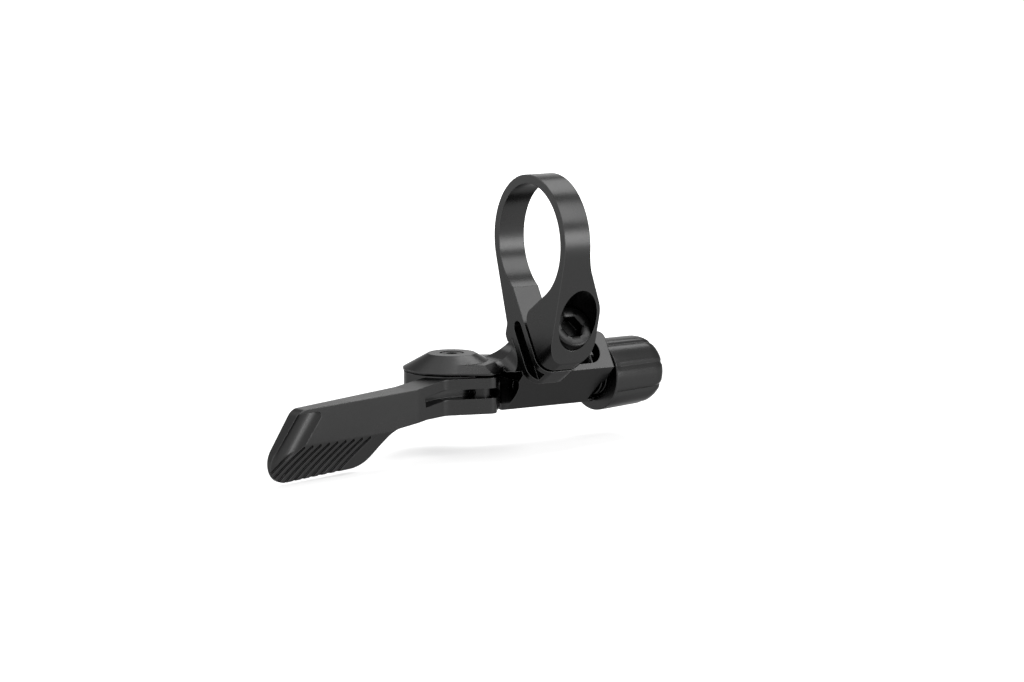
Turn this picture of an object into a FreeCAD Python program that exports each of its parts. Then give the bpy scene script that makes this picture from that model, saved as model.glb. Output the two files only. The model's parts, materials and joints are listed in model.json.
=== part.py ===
import FreeCAD, Part
import math
import os
import re
import Sketcher

# Dropper post remote lever with a handlebar clamp.
# Origin: centre of the handlebar bore. +X runs along the bar towards the stem, +Y points away
# from the rider and +Z up, along the lever's pivot. All sizes in millimetres and degrees.

doc = FreeCAD.newDocument("DropperRemote")
sheet = doc.addObject("Spreadsheet::Sheet", "Sizes")

SIZES = [
    # Handlebar clamp, in its own tilted frame: v runs away from the rider, q up along the slit
    ("bar_radius", 11.1, "radius of the handlebar"),
    ("band_wall", 1.7, "wall of the band"),
    ("band_width", 5.64, "width of the band along the bar"),
    ("clamp_tilt", 32, "lean of the slit from upright"),
    ("near_face_lean", 15.6, "lean of the near ear's outer face from upright"),
    ("far_face_lean", 14.2, "lean of the far ear's outer face from the slit"),
    ("slit_gap", 0.9, "width of the slit"),
    ("slit_near", 9.1, "near ear's inner face from the bore's centre"),
    ("far_lug_thick", 5.4, "thickness of the far lug"),
    ("ear_end", 23.0, "lower end of both ears from the bore's centre"),
    ("ear_reach", 7.0, "inboard side of the ears from the middle of the band"),
    ("ear_corner", 3.1, "corner radius of the ears"),
    ("flare_start", 9.2, "where the ears start to widen"),
    ("flare_end", 15.6, "where the ears have their full width"),
    ("flare_radius", 6.0, "radius where the flare starts"),
    ("shoulder_radius", 3.5, "radius where the flare ends"),
    ("floor_corner", 2.3, "rounding of the near ear beside the slit"),
    ("lip_reach", 2.0, "how far the lip stands over the bracket's top edge"),
    ("lip_top", 11.4, "top of the lip from the bore's centre"),
    ("lip_under", 13.1, "underside of the lip from the bore's centre"),
    ("lip_ramp", 1.6, "rise from the lip to the far ear's outer face"),
    ("lip_edge", 0.5, "rounding of the lip's lower edge"),
    ("lip_round", 0.8, "rounding of the lip's upper edge"),
    ("ear_toe", 1.0, "rounding of the near ear's lower corner"),
    ("bore_step", 0.6, "step of the bore where the ears are wider than the band"),
    ("relief_width", 2.8, "width of the relief slot in the far lug"),
    ("relief_depth", 2.0, "depth of the relief slot"),
    ("relief_wall", 1.2, "wall between the slit and the relief slot"),
    ("relief_top", 10.9, "rounded top of the relief slot from the bore's centre"),
    ("bolt_x", 2.3, "clamp bolt along the bar"),
    ("bolt_drop", 17.1, "clamp bolt from the bore's centre, along the slit"),
    ("bolt_radius", 2.45, "clamp bolt shank, M5"),
    ("bolt_hole_radius", 2.65, "clearance hole for the clamp bolt"),
    ("bolt_head_radius", 3.7, "clamp bolt head"),
    ("bolt_head_height", 3.0, "clamp bolt head height"),
    ("bolt_hex", 4.0, "clamp bolt hexagon socket across flats"),
    ("bolt_hex_depth", 2.0, "depth of that socket"),
    ("bolt_edge", 0.4, "rounding of the bolt head"),
    ("bolt_short", 0.2, "gap between the bolt's end and the back of the nut's channel"),
    ("washer_radius", 3.9, "washer under the head"),
    ("washer_thick", 0.5, "washer thickness"),
    ("seat_radius", 4.15, "counterbore for the head"),
    ("seat_floor", 2.6, "metal left under the head in the near ear"),
    # Bracket
    ("fit", 0.05, "clearance between sliding faces and in running fits"),
    ("bracket_left", 2.9, "left end face of the bracket, outboard of the band's middle"),
    ("bracket_right", 17.8, "right end face of the bracket"),
    ("plate_top", 13.15, "top edge of the plate from the bore's centre"),
    ("plate_edge", 20.9, "sharp lower edge of the plate from the bore's centre"),
    ("plate_web", 2.55, "plate thickness in front of the nut"),
    ("bracket_depth", 5.6, "depth of the bracket's top face"),
    ("lower_slope", 45, "slope of the lower face"),
    ("bracket_bottom", 33.8, "underside of the bracket below the bar's centre"),
    ("bracket_back", 16.0, "back of the bracket behind the bar's centre"),
    ("bracket_shoulder", 25.2, "top of the back wall below the bar's centre"),
    ("slot_travel", 10.7, "how far the bracket shifts along the bar"),
    ("nut_thick", 2.0, "clamp nut thickness"),
    ("nut_width", 5.2, "clamp nut width across the channel"),
    ("nut_length", 8.0, "clamp nut length along the bar"),
    ("nut_shift", 0.8, "middle of the nut, inboard of the bolt"),
    ("corner_round", 1.5, "rounding of the bracket's top right corner"),
    ("back_corner", 1.5, "rounding of the back wall's lower corner"),
    ("shoulder_corner", 2.0, "rounding of the back wall's upper corner"),
    # Pivot arm and cap
    ("pivot_x", -12.3, "lever pivot along the bar"),
    ("pivot_y", 13.0, "lever pivot behind the bar's centre"),
    ("cap_top", 22.2, "cap's flat top below the bar's centre"),
    ("cap_top_radius", 4.6, "radius of the cap's flat top"),
    ("cap_radius", 9.4, "radius of the cap"),
    ("cap_height", 2.7, "height of the cap's cone"),
    ("cap_rim", 0.3, "straight rim under the cone"),
    ("arm_top", 23.6, "arm's top face below the bar's centre"),
    ("arm_fillet", 3.0, "hollow fillet between arm and bracket"),
    ("arm_slant", 32.1, "slant of the arm's front edge from the bar"),
    ("back_slant", 30, "slant of the arm's back edge from the bar"),
    ("lobe_reach", 8.0, "arm's front corner, along that edge from the pivot"),
    ("lobe_radius", 1.6, "rounding of that corner"),
    ("arm_meet", 6.5, "where the arm's edge meets the bracket, from the pivot towards the rider"),
    ("recess_top", 27.3, "top of the recess that clears the cable fork"),
    ("recess_x", 5.5, "centre of that recess, inboard of the pivot"),
    ("recess_y", 6.1, "centre of that recess, from the pivot towards the rider"),
    ("recess_radius", 5.1, "radius of that recess"),
    # Lever
    ("hub_radius", 9.25, "lever hub"),
    ("hub_height", 7.15, "lever hub height"),
    ("hub_gap", 0.3, "gap between hub and cap"),
    ("hub_clearance", 0.45, "gap between hub and bracket"),
    ("arm_angle", 12, "direction of the lever's arm from the bar"),
    ("arm_reach", 8.71, "front face of the arm from the pivot"),
    ("arm_back_start", 8.0, "where the arm's back face starts, from the pivot"),
    ("arm_back_reach", 2.0, "back face of the arm there, from the pivot"),
    ("arm_tip_reach", 7.7, "back face of the arm past the tip, from the pivot"),
    ("arm_face_start", 16.3, "where the arm's front face starts, from the pivot"),
    ("arm_face_round", 2.5, "rounding there"),
    ("arm_root", 17.4, "where the top of the arm starts, from the pivot"),
    ("arm_root_round", 6.0, "hollow rounding there"),
    ("paddle_tip", 56.1, "lower left corner of the paddle before rounding"),
    ("paddle_shoulder", 45.3, "upper left corner of the paddle before rounding"),
    ("shoulder_round", 3.0, "rounding of that corner"),
    ("paddle_top", 27.2, "top of the paddle below the bar's centre"),
    ("arm_root_top", 26.6, "top of the arm near the hub"),
    ("paddle_bottom", 40.75, "bottom of the paddle at its tip"),
    ("paddle_heel", 29.3, "lower right corner of the paddle"),
    ("paddle_heel_bottom", 39.7, "bottom of the paddle at its heel"),
    ("heel_round", 8.5, "rounding of the heel"),
    ("paddle_notch", 22.5, "where the paddle's heel meets the arm"),
    ("paddle_notch_bottom", 33.55, "underside of the arm there"),
    ("notch_round", 5.0, "hollow rounding there"),
    ("paddle_round", 3.8, "rounding of the paddle's tip"),
    ("arm_foot", 14.0, "where the underside meets the hub's, from the pivot"),
    ("scoop_top", 33.8, "upper edge of the scooped thumb face"),
    ("scoop_depth", 1.3, "depth of the thumb scoop at the bottom"),
    ("plateau_top", 38.9, "upper end of the raised face, from the pivot"),
    ("plateau_edge", 27.9, "upper edge of the hollow beside the raised face"),
    ("plateau_nose", 42.4, "outer end of the raised face, from the pivot"),
    ("plateau_nose_height", 31.5, "height of that end below the bar's centre"),
    ("plateau_foot", 41.7, "lower end of the raised face, from the pivot"),
    ("plateau_corner", 1.0, "corner radius of the raised face"),
    ("cove_depth", 0.9, "depth of the cove beside the tip"),
    ("cove_width", 5.2, "width of that cove"),
    ("cove_x", 46.3, "middle of the cove, from the pivot"),
    ("cove_height", 32.3, "middle of the cove below the bar's centre"),
    ("groove_count", 10, "grip grooves"),
    ("groove_start", 28.0, "first grip groove, from the pivot"),
    ("groove_gap", 0.6, "gap between the scoop's upper edge and the grooves"),
    ("groove_length", 10.0, "length of a grip groove"),
    ("groove_width", 0.6, "width of a grip groove"),
    ("groove_depth", 0.35, "depth of a grip groove"),
    ("groove_pitch", 2.0, "spacing of the grip grooves"),
    ("groove_angle", 38, "slant of the grip grooves"),
    ("fork_top", 25.75, "top of the cable fork below the bar's centre"),
    ("fork_slot", 1.9, "height of the fork's slot"),
    ("fork_step", 8.3, "where the top of the fork ends, from the pivot"),
    ("fork_step_round", 3.0, "rounding there"),
    ("slot_reach", 7.0, "where the slot's outer end starts, from the pivot"),
    ("slot_tail", 5.2, "length of the slot's outer end"),
    ("slot_dip", 7, "dip of the slot's outer end"),
    ("valley_radius", 2.4, "hollow rounding beside the fork"),
    ("valley_x", 8.4, "hollow beside the fork, along the arm from the pivot"),
    ("valley_reach", 7.5, "hollow beside the fork, from the pivot towards the rider"),
    ("fork_corner", 1.6, "rounding of the fork's front corner"),
    ("fork_x", 0.4, "front corner of the fork, inboard of the pivot"),
    ("fork_reach", 12.1, "front corner of the fork, from the pivot towards the rider"),
    ("fork_back_x", 5.1, "inboard corner of the fork, from the pivot"),
    ("fork_back_reach", 7.7, "inboard corner of the fork, from the pivot towards the rider"),
    ("drum_radius", 7.0, "radius that the wire wraps on"),
    # Bearings
    ("axle_radius", 3.0, "pivot axle"),
    ("bearing_radius", 5.0, "outside of the ball bearings"),
    ("bearing_height", 2.5, "height of a ball bearing"),
    ("rib_width", 0.8, "rib between the bearings' seats"),
    ("ring_wall", 0.55, "wall of the bearing rings"),
    ("ball_radius", 0.55, "bearing balls"),
    ("ball_count", 8, "balls in a bearing"),
    ("ball_play", 0.02, "play of the balls in their tracks"),
    ("shield_thick", 0.15, "thickness of a bearing shield"),
    ("shield_inset", 0.1, "shield below the bearing's end face"),
    ("shield_gap", 0.1, "gap between a shield and the inner ring"),
    ("shim_thick", 0.5, "shim under the cap"),
    ("spacer_height", 1.6, "spacer between the inner rings"),
    ("flange_radius", 4.0, "flange of the axle"),
    ("flange_height", 0.8, "flange thickness"),
    ("flange_edge", 0.3, "rounding of the flange"),
    ("axle_floor", 2.0, "bottom of the axle's thread, from the flange"),
    ("screw_radius", 1.5, "pivot screw, M3"),
    ("screw_head_radius", 2.3, "pivot screw head"),
    ("screw_head_height", 1.6, "pivot screw head height"),
    ("screw_hex", 2.0, "pivot screw hexagon socket across flats"),
    ("screw_hex_depth", 1.2, "depth of that socket"),
    ("screw_edge", 0.3, "rounding of the pivot screw's head"),
    ("screw_sink", 0.1, "pivot screw's head below the cap's top"),
    ("screw_short", 0.5, "gap under the pivot screw's end"),
    # Cable and adjuster
    ("cable_z", -28.7, "height of the wire"),
    ("cable_yaw", 10.5, "direction of the wire from the bar"),
    ("adjuster_x", 21.4, "a point on the wire's line"),
    ("adjuster_y", 11.0, "a point on the wire's line"),
    ("wire_hole", 1.0, "radius of the wire's hole"),
    ("anchor_radius", 2.0, "cable anchor barrel"),
    ("anchor_height", 5.8, "cable anchor height"),
    ("anchor_wire_hole", 0.9, "radius of the anchor's cross hole"),
    ("pinch_radius", 1.25, "pinch screw, M2.5"),
    ("pinch_length", 1.8, "pinch screw length"),
    ("pinch_sink", 0.2, "pinch screw's outer end inside the anchor"),
    ("pinch_point", 0.3, "rounding of the pinch screw's point"),
    ("pinch_hex", 1.3, "pinch screw hexagon socket across flats"),
    ("pinch_hex_depth", 1.0, "depth of that socket"),
    ("knob_radius", 6.9, "barrel adjuster knob at its inner end"),
    ("knob_tip_radius", 6.4, "barrel adjuster knob at its outer end"),
    ("knob_length", 13.6, "knob length"),
    ("knob_start", -3.1, "inner end of the knob from the point on the wire's line"),
    ("knob_edge", 0.8, "rounding of the knob's inner end"),
    ("knob_round", 2.0, "rounding of the knob's outer end"),
    ("flute_count", 9, "flutes round the knob"),
    ("flute_radius", 1.3, "radius of a flute"),
    ("flute_depth", 0.5, "depth of a flute"),
    ("flute_inset", 1.2, "plain rim of the knob beside the flutes"),
    ("housing_radius", 2.55, "seat for the cable housing"),
    ("housing_depth", 8.0, "depth of that seat"),
    ("stem_radius", 2.45, "threaded stem of the adjuster, M5"),
    ("stem_length", 9.0, "stem beyond the knob"),
    ("stem_edge", 0.3, "rounding of the stem's end"),
    ("thread_spare", 0.5, "bracket's thread beyond the stem's end"),
    ("spring_pocket_radius", 4.4, "pocket for the spring in the knob"),
    ("spring_pocket_depth", 4.0, "depth of that pocket"),
    ("spring_radius", 3.6, "middle radius of the adjuster spring"),
    ("spring_wire", 0.55, "side of the adjuster spring's square wire"),
    ("spring_turns", 4, "turns of the adjuster spring"),
    ("spring_pitch", 1.2, "pitch of the adjuster spring"),
    ("spot_radius", 4.6, "counterbore for the spring in the bracket"),
    ("spot_depth", 2.2, "depth of that counterbore, from the knob's inner end"),
    ("knob_gap", 0.3, "gap between the knob and its spot face on the bracket"),
    ("ring_cord", 0.4, "cord radius of the O-ring"),
    ("ring_gap", 0.03, "gap between the O-ring and the adjuster"),
    # Shaping tools
    ("lap", 0.5, "overlap of two shapes that are joined"),
    ("overrun", 2.0, "how far a tool runs past the piece"),
    ("least_flat", 0.01, "least flat beside a rounding"),
    ("long_tool", 60, "length of a tool that runs past everything"),
    ("short_tool", 10, "length of a short tool"),
]

for row, (alias, value, note) in enumerate(SIZES, start=1):
    sheet.set(f"A{row}", alias)
    sheet.set(f"B{row}", str(value))
    sheet.set(f"C{row}", note)
    sheet.setAlias(f"B{row}", alias)
doc.recompute()

ALIASES = {alias for alias, value, note in SIZES}

# Sizes that follow from the driving ones, written as formulas on them
DERIVED = {
    "band_radius": "bar_radius + band_wall",
    "band_left": "0 - band_width / 2",
    "slit_far": "slit_near + slit_gap",
    "lug_back": "slit_far + far_lug_thick",
    "near_face": "near_face_lean + clamp_tilt",
    "head_seat": "slit_near - seat_floor",
    "plate_front": "lug_back + fit",
    "channel_front": "plate_front + plate_web",
    "channel_back": "channel_front + nut_thick + 2 * fit",
    "edge_y": "plate_front * cos(clamp_tilt) - plate_edge * sin(clamp_tilt)",
    "edge_z": "0 - plate_front * sin(clamp_tilt) - plate_edge * cos(clamp_tilt)",
    "cap_under": "cap_top + cap_height + cap_rim",
    "bevel_foot": "cap_top + cap_height",
    "bevel_slope": "atan(cap_height / (cap_radius - cap_top_radius))",
    "arm_edge": "cap_radius - 0.1",
    "arm_edge_x": "pivot_x - arm_edge * sin(arm_slant)",
    "arm_edge_y": "pivot_y - arm_edge * cos(arm_slant)",
    "lobe_x": "arm_edge_x + lobe_reach * cos(arm_slant)",
    "lobe_y": "arm_edge_y - lobe_reach * sin(arm_slant)",
    "meet_y": "pivot_y - arm_meet",
    "meet_slant": "atan((meet_y - lobe_y) / (0 - bracket_left - lobe_x))",
    "back_edge_x": "pivot_x + arm_edge * sin(back_slant)",
    "back_edge_y": "pivot_y + arm_edge * cos(back_slant)",
    "arm_right": "lap - bracket_left",
    "hub_top": "cap_under + hub_gap",
    "hub_bottom": "hub_top + hub_height",
    "upper_bearing": "cap_under + shim_thick",
    "spacer_top": "upper_bearing + bearing_height",
    "lower_bearing": "spacer_top + spacer_height",
    "stack_end": "lower_bearing + bearing_height",
    "cable_lever": "(pivot_y - adjuster_y) * cos(cable_yaw) - (pivot_x - adjuster_x) * sin(cable_yaw)",
    "anchor_x": "pivot_x + cable_lever * sin(cable_yaw)",
    "anchor_y": "pivot_y - cable_lever * cos(cable_yaw)",
}


def formula(text):
    """Writes a formula on named sizes in the document's own words."""
    def name(match):
        word = match.group(0)
        if word in ALIASES:
            return "Sizes." + word
        if word in DERIVED:
            return "(" + formula(DERIVED[word]) + ")"
        return word
    return re.sub(r"[a-z_]+", name, str(text))


def value(text):
    """The present value of a formula."""
    return float(sheet.evalExpression(formula(text)))


def bind(item, **formulas):
    for prop, text in formulas.items():
        item.setExpression(prop, formula(text))
    return item


def at(x="0", y="0", z="0", axis="0; 0; 1", turn="0"):
    """A place as a formula: moved by x, y, z and turned about an axis."""
    return f"placement(vector({x}; {y}; {z}); rotation(vector({axis}); {turn}))"


CLAMP = at(axis="1; 0; 0", turn="0 - clamp_tilt")
BOLT = CLAMP + " * " + at("bolt_x", "0", "0 - bolt_drop", "1; 0; 0", "90")
PIVOT = at("pivot_x", "pivot_y", "0")
ARM = at("pivot_x", "pivot_y", "0", "0; 0; 1", "arm_angle") + " * " + at(axis="1; 0; 0", turn="90")
CABLE = (at("adjuster_x", "adjuster_y", "cable_z", "0; 0; 1", "cable_yaw")
         + " * " + at(axis="0; 1; 0", turn="90"))
ANCHOR = at("anchor_x", "anchor_y", "cable_z", "0; 0; 1", "cable_yaw")
ALONG_BAR = at(axis="0; 1; 0", turn="90")
# Sketch planes: v and q, seen along the bar, and x and q, seen along v
VQ_PLANE = at(axis="1; 1; 1", turn="120")
XQ_PLANE = at(axis="1; 0; 0", turn="90")


def outline(sketch, corners):
    """Draws a closed outline. Each corner is x, y and, where it is rounded, a radius."""
    points = [FreeCAD.Vector(value(c[0]), value(c[1]), 0) for c in corners]
    radii = [value(c[2]) if len(c) > 2 else 0 for c in corners]
    count = len(corners)
    arcs = {}
    arrive = list(points)
    leave = list(points)
    for i in range(count):
        if not radii[i]:
            continue
        before = (points[i - 1] - points[i]).normalize()
        after = (points[(i + 1) % count] - points[i]).normalize()
        half = before.getAngle(after) / 2
        arrive[i] = points[i] + before * (radii[i] / math.tan(half))
        leave[i] = points[i] + after * (radii[i] / math.tan(half))
        centre = points[i] + (before + after).normalize() * (radii[i] / math.sin(half))
        left_turn = before.cross(after).z < 0
        start, end = (arrive[i], leave[i]) if left_turn else (leave[i], arrive[i])
        angles = [math.atan2(p.y - centre.y, p.x - centre.x) for p in (start, end)]
        if angles[1] < angles[0]:
            angles[1] += 2 * math.pi
        circle = Part.Circle(centre, FreeCAD.Vector(0, 0, 1), radii[i])
        arcs[i] = (Part.ArcOfCircle(circle, *angles), left_turn)
    sides = [sketch.addGeometry(Part.LineSegment(leave[i], arrive[(i + 1) % count]), False)
             for i in range(count)]
    rules = []
    formulas = []
    for i in range(count):
        side_in, side_out = sides[i - 1], sides[i]
        if i in arcs:
            arc_shape, left_turn = arcs[i]
            arc = sketch.addGeometry(arc_shape, False)
            first, last = (1, 2) if left_turn else (2, 1)
            mark = sketch.addGeometry(Part.Point(points[i]), True)
            rules += [Sketcher.Constraint("Tangent", side_in, 2, arc, first),
                      Sketcher.Constraint("Tangent", arc, last, side_out, 1),
                      Sketcher.Constraint("PointOnObject", mark, 1, side_in),
                      Sketcher.Constraint("PointOnObject", mark, 1, side_out)]
            formulas.append((len(rules), corners[i][2]))
            rules.append(Sketcher.Constraint("Radius", arc, radii[i]))
        else:
            mark = side_out
            rules.append(Sketcher.Constraint("Coincident", side_in, 2, side_out, 1))
        formulas.append((len(rules), corners[i][0]))
        rules.append(Sketcher.Constraint("DistanceX", -1, 1, mark, 1, points[i].x))
        formulas.append((len(rules), corners[i][1]))
        rules.append(Sketcher.Constraint("DistanceY", -1, 1, mark, 1, points[i].y))
    sketch.addConstraint(rules)
    for index, text in formulas:
        sketch.setExpression(f"Constraints[{index}]", formula(text))
    return sketch


def prism(name, corners, plane, height):
    """An outline pushed out along its plane's normal."""
    sketch = outline(doc.addObject("Sketcher::SketchObject", name + "_outline"), corners)
    bind(sketch, Placement=plane)
    body = doc.addObject("Part::Extrusion", name)
    body.Base = sketch
    body.DirMode = "Normal"
    body.Solid = True
    return bind(body, LengthFwd=height)


def cylinder(name, radius, height, place):
    return bind(doc.addObject("Part::Cylinder", name), Radius=radius, Height=height, Placement=place)


def box(name, length, width, height, place):
    return bind(doc.addObject("Part::Box", name), Length=length, Width=width, Height=height,
                Placement=place)


def fuse(name, *shapes):
    body = doc.addObject("Part::MultiFuse", name)
    body.Shapes = list(shapes)
    return body


def common(name, *shapes):
    body = doc.addObject("Part::MultiCommon", name)
    body.Shapes = list(shapes)
    return body


def cut(name, base, *tools):
    body = doc.addObject("Part::Cut", name)
    body.Base = base
    body.Tool = tools[0] if len(tools) == 1 else fuse(name + "_tools", *tools)
    return body


def plane_of(body, role):
    return next(part for part in body.Origin.OriginFeatures if part.Role == role)


def turned(name, corners, place):
    """A turned piece: its half section (radius, height) revolved about its own upright axis."""
    body = doc.addObject("PartDesign::Body", name)
    sketch = body.newObject("Sketcher::SketchObject", name + "_section")
    sketch.AttachmentSupport = [(plane_of(body, "XZ_Plane"), "")]
    sketch.MapMode = "FlatFace"
    outline(sketch, corners)
    revolve = body.newObject("PartDesign::Revolution", name + "_turning")
    revolve.Profile = sketch
    revolve.ReferenceAxis = (sketch, ["V_Axis"])
    revolve.Angle = 360
    bind(body, Placement=place)
    return body


def socket(body, across_flats, depth, top):
    """A hexagon socket sunk from the height top of a turned piece."""
    hexagon = body.newObject("PartDesign::SubtractivePrism", body.Name + "_socket")
    hexagon.AttachmentSupport = [(plane_of(body, "XY_Plane"), "")]
    hexagon.MapMode = "FlatFace"
    hexagon.Polygon = 6
    bind(hexagon, Circumradius=f"({across_flats}) / sqrt(3)", Height=depth,
         AttachmentOffset=at("0", "0", f"({top}) - ({depth})"))
    return hexagon


PARTS = []


def finish(body, label):
    body.Label = label
    PARTS.append(body)


def clamp_band():
    near_v = "0 - band_radius * cos(near_face)"
    near_q = "0 - band_radius * sin(near_face)"
    far_v = "band_radius * cos(far_face_lean)"
    far_q = "band_radius * sin(far_face_lean)"
    lip_v = "lug_back + lip_reach"
    toe_v = "(ear_end * sin(near_face) - band_radius) / cos(near_face)"
    heel_v = "(band_radius + (lip_top - lip_ramp) * sin(far_face_lean)) / cos(far_face_lean)"
    width = "ear_reach - band_left"
    start = ALONG_BAR + " * " + at("0", "0", "band_left")
    ring = cylinder("band_ring", "band_radius", width, start)
    ears = prism("band_ears", [
        ("0", "0"), (near_v, near_q), (toe_v, "0 - ear_end", "ear_toe"), ("lug_back", "0 - ear_end"),
        ("lug_back", "0 - lip_under"), (lip_v, "0 - lip_under", "lip_edge"),
        (lip_v, "0 - lip_top", "lip_round"), (heel_v, "lip_ramp - lip_top"), (far_v, far_q)],
        at("band_left") + " * " + VQ_PLANE, width)
    bore = cylinder("band_bore", "bar_radius", width, start)
    step = cylinder("band_bore_step", "bar_radius + bore_step", width,
                    ALONG_BAR + " * " + at("0", "0", "band_width / 2"))
    slit = prism("band_slit", [
        ("0", "0"), ("0", "0 - bar_radius"), ("slit_near", "0 - bar_radius", "floor_corner"),
        ("slit_near", "0 - ear_end - overrun"), ("slit_far", "0 - ear_end - overrun"), ("slit_far", "0")],
        at("band_left") + " * " + VQ_PLANE, width)
    face = prism("band_face", [
        ("band_left", "band_radius + overrun"), ("band_left", "0 - ear_end", "ear_corner"),
        ("ear_reach", "0 - ear_end", "ear_corner"), ("ear_reach", "0 - flare_end", "shoulder_radius"),
        ("band_width / 2", "0 - flare_start", "flare_radius"),
        ("band_width / 2", "band_radius + overrun")],
        at("0", "2 * band_radius") + " * " + XQ_PLANE, "4 * band_radius")
    hole = cylinder("band_hole", "bolt_hole_radius", "4 * band_radius",
                    at("bolt_x", "2 * band_radius", "0 - bolt_drop", "1; 0; 0", "90"))
    seat = cylinder("band_seat", "seat_radius", "2 * band_radius",
                    at("bolt_x", "head_seat", "0 - bolt_drop", "1; 0; 0", "90"))
    relief_v = "slit_far + relief_wall"
    relief = prism("band_relief", [
        (relief_v, "0 - relief_top", "relief_width / 2 - least_flat"),
        (relief_v, "0 - ear_end - overrun"), (relief_v + " + relief_width", "0 - ear_end - overrun"),
        (relief_v + " + relief_width", "0 - relief_top", "relief_width / 2 - least_flat")],
        at("band_left") + " * " + VQ_PLANE, "relief_depth")
    blank = common("band_blank", fuse("band_solid", ring, ears), face)
    band = cut("clamp_band", blank, bore, step, slit, hole, seat, relief)
    finish(bind(band, Placement=CLAMP), "clamp_band")


def clamp_fasteners():
    head_top = "0 - head_seat + washer_thick + bolt_head_height"
    head_under = "0 - head_seat + washer_thick"
    bolt_end = "bolt_short - channel_back"
    bolt = turned("clamp_bolt", [
        ("0", bolt_end), ("bolt_radius", bolt_end), ("bolt_radius", head_under),
        ("bolt_head_radius", head_under), ("bolt_head_radius", head_top, "bolt_edge"), ("0", head_top)], BOLT)
    socket(bolt, "bolt_hex", "bolt_hex_depth", head_top)
    finish(bolt, "clamp_bolt")
    washer = turned("clamp_washer", [
        ("bolt_hole_radius", "0 - head_seat"), ("washer_radius", "0 - head_seat"),
        ("washer_radius", head_under), ("bolt_hole_radius", head_under)], BOLT)
    finish(washer, "clamp_washer")
    nut_front = "channel_front + fit"
    blank = box("nut_blank", "nut_length", "nut_thick", "nut_width",
                at("bolt_x - nut_length / 2 + nut_shift", nut_front, "0 - bolt_drop - nut_width / 2"))
    thread = cylinder("nut_thread", "bolt_radius", "3 * nut_thick",
                      at("bolt_x", "channel_back + nut_thick", "0 - bolt_drop", "1; 0; 0", "90"))
    nut = cut("clamp_nut", blank, thread)
    finish(bind(nut, Placement=CLAMP), "clamp_nut")


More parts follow.
